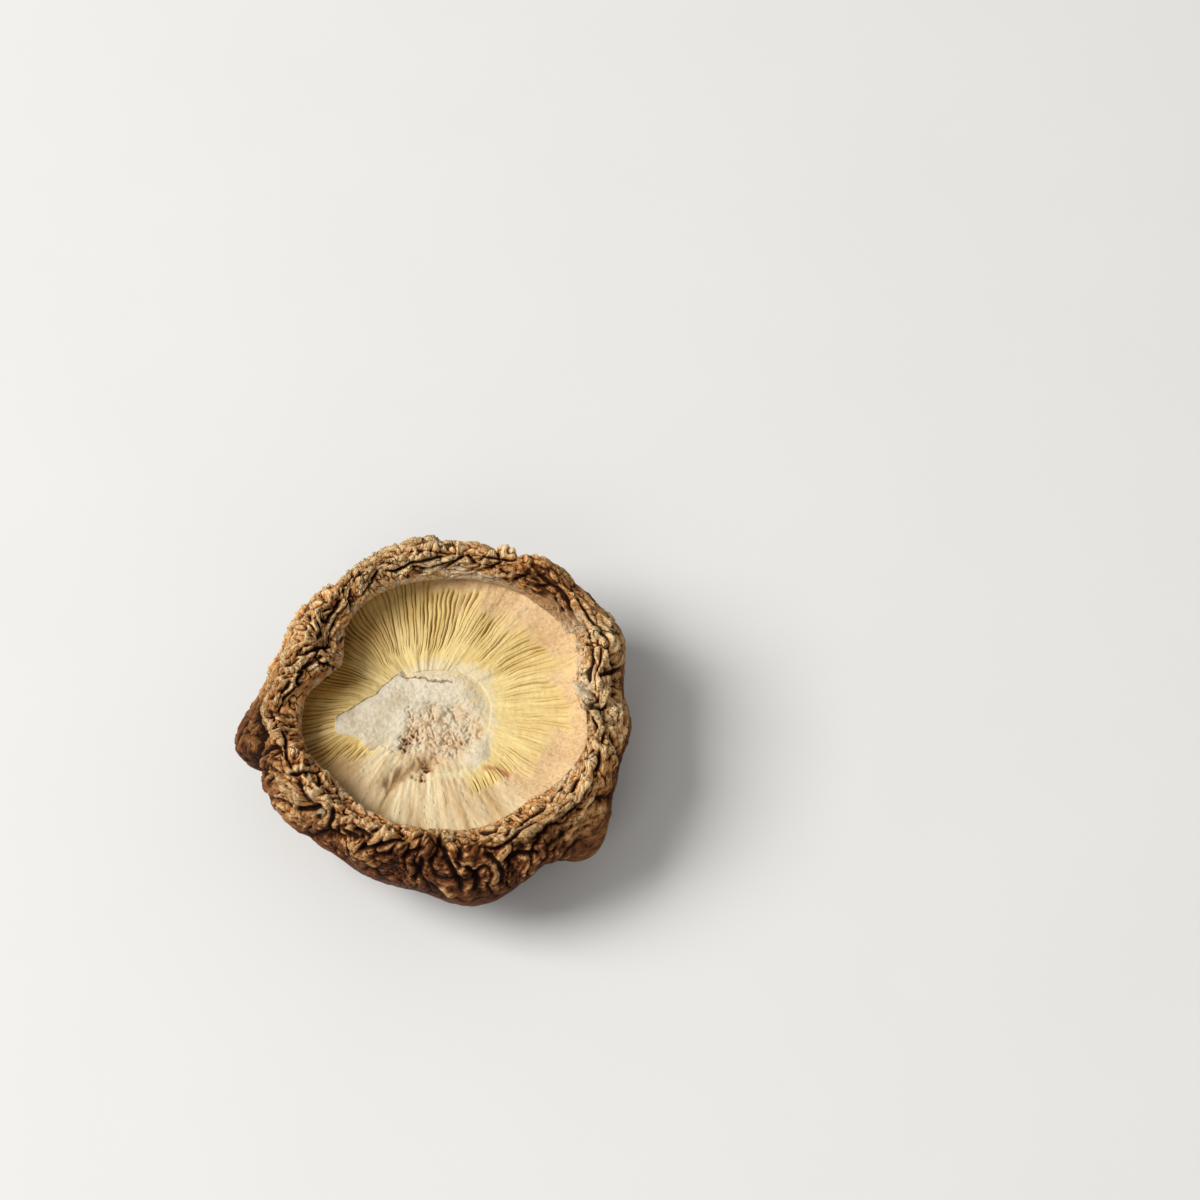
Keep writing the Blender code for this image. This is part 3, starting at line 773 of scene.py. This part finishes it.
# %% Describe the damage
FURROW = ((0.6, -8.0), (-0.8, -8.4), (-2.6, -9.4), (-4.2, -10.8))
HOLES = ((-2.1, -5.1, 0.9, 0.8), (-1.2, -3.9, 0.8, 0.5), (-2.6, -6.0, 0.5, 0.6), (-1.7, -1.5, 0.5, 0.4),
         (-2.2, -0.6, 0.4, 0.3), (3.4, -5.0, 1.3, 0.35), (4.9, -5.6, 0.9, 0.35), (0.4, -8.9, 0.8, 0.9),
         (-0.2, -9.9, 0.6, 0.8), (-1.3, -9.6, 0.4, 0.4), (5.8, -3.8, 1.6, 0.15))


def damage(x, y):
    """Depth of the ragged hollows, and nearness to the furrow, at each place."""
    spot = np.stack((x, y, 0 * x), -1)
    drift = 0.45 * grain(spot, (0.9, 0.9, 1), 7.1) + 0.25 * grain(spot, (0.4, 0.4, 1), 12.6)
    other = 0.45 * grain(spot, (0.9, 0.9, 1), 27.1)
    hollow = np.zeros(x.shape)
    for hx, hy, size, depth in HOLES:
        hollow += depth * np.exp(-(((x - hx + drift) ** 2 + (y - hy + other) ** 2) / size ** 2))
    hollow *= 0.55 + 1.6 * abs(grain(spot, (0.55, 0.55, 1), 4.9))
    gap, _ = line_distance(x + drift, y + other, FURROW)
    return hollow, np.exp(-(gap / 0.8) ** 2)


# %% [markdown]
# ## The gills
# A gill is a thin upright blade that runs from the stem to the rim. Seen from above, a ring of
# dried gills is a pale felt with thin dark gaps in it. The sheet has eight columns for each
# gap, which all sway together, so that every gap stays sharp however much it wanders. Every
# second gap is short and starts somewhere between the stem and the rim.

# %% Sway the columns and lay out the rows of the gills' sheet
GILL_GAPS = 156
PHASES = (0, 0.07, 0.17, 0.33, 0.5, 0.67, 0.83, 0.93)
GAP_DEPTH = 0.5
rng = np.random.default_rng(7)

gap_number = np.repeat(np.arange(GILL_GAPS), len(PHASES))
phase = np.tile(PHASES, GILL_GAPS)
close = np.append(np.arange(len(phase)), 0)
gap_number, phase = gap_number[close], phase[close]
turn = (gap_number + phase) / GILL_GAPS
turn[-1] = 1.0

top_share = np.linspace(1, 0, 62)
share = np.concatenate((top_share, (0, 0, 0.3, 0.7, 1, 1, 1)))
drop = np.concatenate((0 * top_share, (0.4, 1, 1, 1, 1, 0.4, 0)))
share, turn_map = np.meshgrid(share, turn, indexing="ij")
drop = np.meshgrid(drop, turn, indexing="ij")[0]
bearing = turn_map * math.tau

inner = 0.84 * round_value(STEM_RADII, bearing)
mouth = round_value(MOUTH_RADII, bearing)
lip_height = round_value(RIM_TOPS, bearing) - LIP_DROP
edge_height = gill_plane(mouth * np.cos(bearing), mouth * np.sin(bearing))
# On the right the inner skin climbs smoothly to the lip.
climb = smooth_step(75, 35, abs(turn_between(bearing, 22)))
outer = mouth + 0.1 + TUCK * smooth_step(0, 2, lip_height - edge_height) + 0.9 * climb
radius = inner + (outer - inner) * share

polar = np.stack((radius * np.cos(bearing), radius * np.sin(bearing), 0 * radius), -1)
sway = 0.9 * grain(polar, (6, 6, 6), 4.4) + 0.16 * grain(polar, (1.9, 1.9, 1), 9.2)
lone = np.stack((gap_number[None] * 0.77 + 0 * radius, radius, 0 * radius), -1)
lone[:, -1, 0] = lone[:, 0, 0]
sway += 0.14 * grain(lone, (1, 2.4, 1), 2.6)
swayed = bearing + sway * smooth_step(0, 0.2, share) / np.maximum(radius, 4)
x, y = radius * np.cos(swayed), radius * np.sin(swayed)

# Where the veil of smooth skin begins, as a share of the way from the stem to the rim.
VEIL_STARTS = (0.74, 0.72, 0.55, 0.62, 0.80, 1.0, 1.15, 1.2, 1.2, 1.2,
               1.0, 0.5, -0.1, -0.2, -0.1, 0.35, 0.50, 0.66)
veil_start = round_value(VEIL_STARTS, bearing) + 0.25 * grain(polar, (2.2, 2.2, 2), 6.6)
veil = smooth_step(-0.12, 0.16, share - veil_start)
short = gap_number % 2 == 1
starts = np.where(short, rng.uniform(0.3, 1.1, GILL_GAPS)[gap_number % GILL_GAPS],
                  rng.uniform(0.14, 0.26, GILL_GAPS)[gap_number % GILL_GAPS])
starts[-1] = starts[0]
present = smooth_step(0, 0.12, share - starts[None]) * (1 - smooth_step(0.1, 0.8, veil))
present *= np.clip(0.85 + 1.1 * grain(lone, (1, 3.5, 1), 8.3), 0.25, 1.15)
away = np.minimum(phase, 1 - phase)
gap = np.exp(-(away / 0.19) ** 1.7)[None] * present

fibres = np.stack((9 * np.cos(swayed), 9 * np.sin(swayed), radius * 0.16), -1)
strand = grain(fibres, (0.55, 0.55, 0.7), 3.3)
swell = grain(fibres, (1.6, 1.6, 1.0), 1.9)
crumb = grain(polar, (0.5, 0.5, 0.5), 1.2)
top = gill_plane(x, y) + 0.10
top += (0.09 + 0.12 * veil) * strand + 0.28 * swell + 0.06 * crumb
hollow, furrow = damage(x, y)
top -= GAP_DEPTH * gap * (0.65 + 0.35 * abs(turn_between(bearing, 0)) / 180) + hollow + 0.6 * furrow
top += 0.35 * smooth_step(0.86, 1.0, share) + 0.9 * climb * smooth_step(0.6, 1.0, share) ** 2
MARK = ((7.6, -8.9), (9.3, -9.1), (10.6, -10.2))
mark_gap, where = line_distance(x + 0.3 * crumb, y, MARK)
mark = np.exp(-(mark_gap / 0.34) ** 2) * (0.6 + 0.4 * where)
top -= 0.12 * mark
# Under the overhang on the left the gills are painted a dark yellow-brown, a painted shadow of the rim.
RIM_SHADOW_BY_BEARING = (0, 0, 0, 0.1, 0.35, 0.6, 0.85, 1.0, 1.0, 0.8, 0.5, 0.1, 0.05, 0, 0, 0)
rim_shadow = round_value(RIM_SHADOW_BY_BEARING, bearing) * smooth_step(0.25, 0.85, share + 0.2 * swell)
under = FLESH_FLOOR + 0.35
level = top + (under - top) * drop
ring = np.stack((x, y, level), -1)
ring[:, -1] = ring[:, 0]
ring[-1] = ring[0]

# %% Make and paint the gills
gills = sew_sheet("gill_ring", lay_down(ring),
                  {"gap": gap * (0.6 + 0.4 * smooth_step(25, 75, abs(turn_between(bearing, 0)))), "veil": veil, "fibres": fibres, "share": share, "rim_shadow": rim_shadow,
                   "fan": smooth_step(62, 38, abs(turn_between(bearing, 262))),
                   "frayed": smooth_step(26, 36, abs(turn_between(bearing, 160))),
                   "shade": smooth_step(40, 15, abs(turn_between(bearing, 222))) * smooth_step(0.2, 0.9, share),
                   "hollow": hollow, "furrow": furrow, "mark": mark})
material, shader, wire = new_material("gill_felt", 0.75, 0.25)
gap_map, veil_map = read(wire, "gap"), read(wire, "veil")
fibre_map, share_map = read(wire, "fibres", 1), read(wire, "share")
streak = fibre_map.times((1, 1, 0.5)).noise(2.4, 3.0, 0.6)
cloud = fibre_map.noise(0.35, 3.0)
dots = wire.node("ShaderNodeTexCoord", output=3).noise(2600.0, 3.0, 0.6)
crest = (streak * 0.8 + cloud * 0.5).rise(0.35, 0.95).mix((0.58, 0.39, 0.12), (0.84, 0.66, 0.30))
grainy = (dots * 0.9 + cloud * 0.6).rise(0.45, 1.0).mix((0.50, 0.29, 0.12), (0.72, 0.51, 0.28))
bands = fibre_map.times((0.5, 0.5, 0.3)).noise(1.0, 2.0, 0.5)
fibrous = (streak * 0.7 + bands * 0.9).rise(0.5, 1.05).mix((0.46, 0.28, 0.11), (0.80, 0.67, 0.42))
felt = veil_map.mix(crest, read(wire, "fan").mix(grainy, fibrous))
near_stem = (share_map + (dots - 0.5) * 0.2 + (cloud - 0.5) * 0.3).rise(0.16, 0.05) * read(wire, "frayed")
felt = near_stem.mix(felt, (0.70, 0.58, 0.35))
# Painted shadow of the left rim on the gills.
felt = (read(wire, "rim_shadow") * 0.85).mix(felt, (0.36, 0.165, 0.012))
felt = (read(wire, "shade") * 0.6).mix(felt, (0.33, 0.18, 0.07))
# Painted shade: the gaps between the blades are painted a darker yellow-brown, less so on the right.
felt = (gap_map.rise(0.1, 0.9) * 0.75).mix(felt, (0.38, 0.20, 0.035))
# The hollows are painted a darker brown the deeper they are, and so is the furrow.
felt = (read(wire, "hollow") * 1.3).rise(0.2, 1.2).mix(felt, (0.28, 0.125, 0.042))
felt = (read(wire, "furrow") * 0.75).mix(felt, (0.30, 0.155, 0.055))
felt = (read(wire, "mark") * 0.95).mix(felt, (0.36, 0.09, 0.02))
connect(shader, "Base Color", felt)
connect(shader, "Normal", bump(streak * 0.6 + dots * 0.4, 0.00025, 0.8))
gills.data.materials.append(material)
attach(gills, "root")
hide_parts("gills")

# %% [markdown]
# ## The stem
# The stem was cut off flush with the gills. The knife left a smooth pale face on the left with
# a thin dark edge, painted shade where the face stands above the gills, while the middle tore
# open and dried to brown crumbs, with painted shade between them. Towards the front the
# fibres of the stem fan out into the flesh of the cap.

# %% Model the cut face of the stem
STEM_STANDS = 0.55
LIP_LINE = ((-11.2, -1.7), (-9.1, -0.7), (-7.3, 0.9), (-5.6, 2.3), (-4.0, 4.0),
            (-3.0, 3.8), (-0.9, 3.7), (1.2, 3.1), (3.4, 2.9))
STEM_COLUMNS = 480
face_share = np.concatenate((np.linspace(0, 1, 112), (1.0, 0.96, 0.6, 0)))
stem_drop = np.concatenate((np.zeros(112), (0.45, 1, 1, 1)))
turn = np.linspace(0, math.tau, STEM_COLUMNS + 1)
share, bearing = np.meshgrid(face_share, turn, indexing="ij")
drop = np.meshgrid(stem_drop, turn, indexing="ij")[0]
edge = round_value(STEM_RADII, bearing) + 0.9 * np.exp(-(turn_between(bearing, 188) / 3.5) ** 2)
edge = edge + 0.5 * grain(np.stack((edge * np.cos(bearing), edge * np.sin(bearing), 0 * edge), -1),
                          (1.4, 1.4, 1), 5.5)
radius = edge * share
x, y = radius * np.cos(bearing), radius * np.sin(bearing)
spot = np.stack((x, y, 0 * x), -1)

ragged = 1.1 * grain(spot, (1.7, 1.7, 1), 7.1)
torn = smooth_step(1.12, 0.72, np.hypot((x - 2.2) / 5.2, (y + 4.2) / 4.4) + 0.22 * ragged)
drift = np.stack([0.5 * grain(spot, (1.3, 1.3, 1), seed) for seed in (14.4, 19.2, 23.6)], -1)
crumbs = 0.55 * abs(grain(spot + drift, (1.5, 1.5, 1), 2.2)) ** 0.7
crumbs += 0.45 * abs(grain(spot + drift, (0.7, 0.7, 1), 8.8)) ** 0.8
fuzz = grain(spot, (0.8, 0.8, 1), 1.7) + 0.6 * grain(spot, (0.35, 0.35, 1), 3.9)
fan = smooth_step(-6.0, -8.0, y + 0.25 * x)
rays = grain(np.stack((9 * np.cos(bearing), 9 * np.sin(bearing), radius * 0.1), -1),
             (0.5, 0.5, 1), 6.3)
lip_gap, _ = line_distance(x + 0.25 * fuzz, y + 0.25 * fuzz, LIP_LINE)
hollow, furrow = damage(x, y)

# Only at the upper left is there a clean edge. Elsewhere the face sinks in among the gills.
clean = smooth_step(34, 28, abs(turn_between(bearing, 160)))
face = gill_plane(x, y) + STEM_STANDS - 0.15
face += 0.07 * fuzz * (1 - fan) + 0.25 * grain(spot, (5, 5, 1), 4.1)
face += torn * (0.8 * crumbs - 0.5) - hollow
face += fan * (0.16 * rays - 0.1)
face -= 0.6 * furrow
face -= 0.2 * np.exp(-(lip_gap / 0.14) ** 2) * (1 - clean)
lifted = smooth_step(54, 46, abs(turn_between(bearing, 174)))
soft = (1 - lifted) * (1 - 0.8 * smooth_step(62, 40, abs(turn_between(bearing, 275))))
face -= soft * (0.62 * smooth_step(0.55, 1.0, share) + 0.22 * fuzz * smooth_step(0.75, 0.95, share))
face -= (1 - lifted - soft) * (0.35 * smooth_step(0.8, 0.97, share) + 0.5 * smooth_step(0.95, 1.0, share))
level = face + (FLESH_FLOOR + 0.3 - face) * drop
edge_wall = smooth_step(0.962, 0.985, share + 0.012 * fuzz)
disc = np.stack((x, y, level), -1)
disc[:, -1] = disc[:, 0]

# %% Make and paint the stem
stem = sew_sheet("stem_face", lay_down(disc),
                 {"torn": torn, "crumbs": crumbs, "hollow": hollow, "fan": fan,
                  "lip": np.exp(-(lip_gap / 0.15) ** 2) * (1 - clean), "clean": clean * edge_wall,
                  "furrow": furrow, "blend": soft * smooth_step(0.55, 0.92, share + 0.3 * fuzz) * (1 - fan),
                  "fibres": np.stack((9 * np.cos(bearing), 9 * np.sin(bearing), radius * 0.16), -1)})
material, shader, wire = new_material("stem_flesh", 0.85, 0.2)
place = wire.node("ShaderNodeTexCoord", output=3)
dots = place.noise(2200.0, 4.0, 0.65)
cloud = place.noise(350.0, 3.0)
streak = read(wire, "fibres", 1).times((1, 1, 0.5)).noise(2.4, 3.0, 0.6)
white = (cloud * 0.7 + dots * 0.8).rise(0.5, 0.95).mix((0.55, 0.45, 0.295), (0.75, 0.665, 0.505))
fibrous = (streak * 0.8 + cloud * 0.4).rise(0.35, 0.85).mix((0.46, 0.28, 0.11), (0.80, 0.67, 0.42))
flesh = read(wire, "fan").mix(white, fibrous)
flesh = (read(wire, "blend") * 0.9).mix(flesh, (0.76, 0.60, 0.32))
torn_map, crumb_map = read(wire, "torn"), read(wire, "crumbs")
flesh = (torn_map * cloud.rise(0.35, 0.6) * 0.75).mix(flesh, (0.66, 0.43, 0.22))
# Painted shade in the hollows between the crumbs.
crumb_hollow_shade = (crumb_map + (dots - 0.5) * 0.6).rise(0.20, 0.07)
flesh = (torn_map * crumb_hollow_shade * 0.7).mix(flesh, (0.30, 0.135, 0.045))
# The hollows are painted a darker brown the deeper they are, and so is the furrow.
flesh = (read(wire, "hollow") * 1.3).rise(0.2, 1.2).mix(flesh, (0.28, 0.125, 0.042))
flesh = (read(wire, "furrow") * 0.75).mix(flesh, (0.30, 0.155, 0.055))
# Painted shadow lines: a dark line along the lip where the face steps down, and on the side of the clean edge,
# where the face stands above the gills.
flesh = (read(wire, "lip") * dots.rise(0.3, 0.5) * 0.9).mix(flesh, (0.26, 0.125, 0.04))
flesh = (read(wire, "clean") * (0.6 + dots.rise(0.6, 0.4) * 0.4)).mix(flesh, (0.10, 0.05, 0.018))
connect(shader, "Base Color", flesh)
connect(shader, "Normal", bump(dots * 0.7 + streak * 0.3, 0.0003, 0.8))
stem.data.materials.append(material)
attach(stem, "root")
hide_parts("stem")
